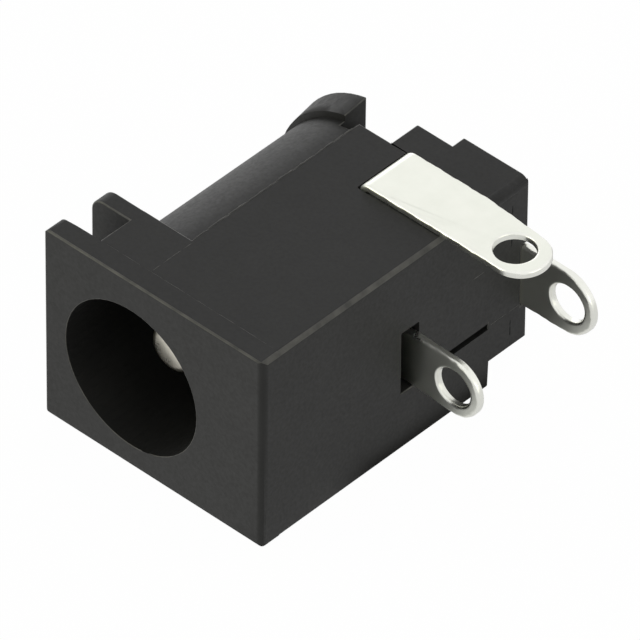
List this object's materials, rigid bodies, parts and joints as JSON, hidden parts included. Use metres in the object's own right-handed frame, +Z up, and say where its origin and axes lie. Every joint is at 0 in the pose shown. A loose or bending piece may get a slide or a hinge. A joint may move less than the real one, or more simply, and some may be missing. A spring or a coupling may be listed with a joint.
{
  "type": "dc barrel jack",
  "caption": "Barrel jack for a 5.5 x 2.1 mm power plug: black moulded body with square flange, centre pin, sleeve spring, and solder lugs with eyelets.",
  "frame": {"origin": "middle of the bounding box at floor level, with the jack lying on its flat side", "axes": "-Y out of the socket towards the plug, +X towards the solder lugs, +Z up"},
  "size_m": [0.015, 0.0146, 0.0093],
  "materials": {
    "moulded_body": "black PBT, fine matt spark-eroded mould texture",
    "pin_metal": "turned brass, nickel plated, bright",
    "lug_metal": "stamped brass, bright tin plated"
  },
  "bodies": {
    "root": {"housing": "moulded_body", "centre_pin": "pin_metal", "pin_terminal": "lug_metal", "spring_contact": "lug_metal", "switch_contact": "lug_metal"}
  },
  "joints": []
}
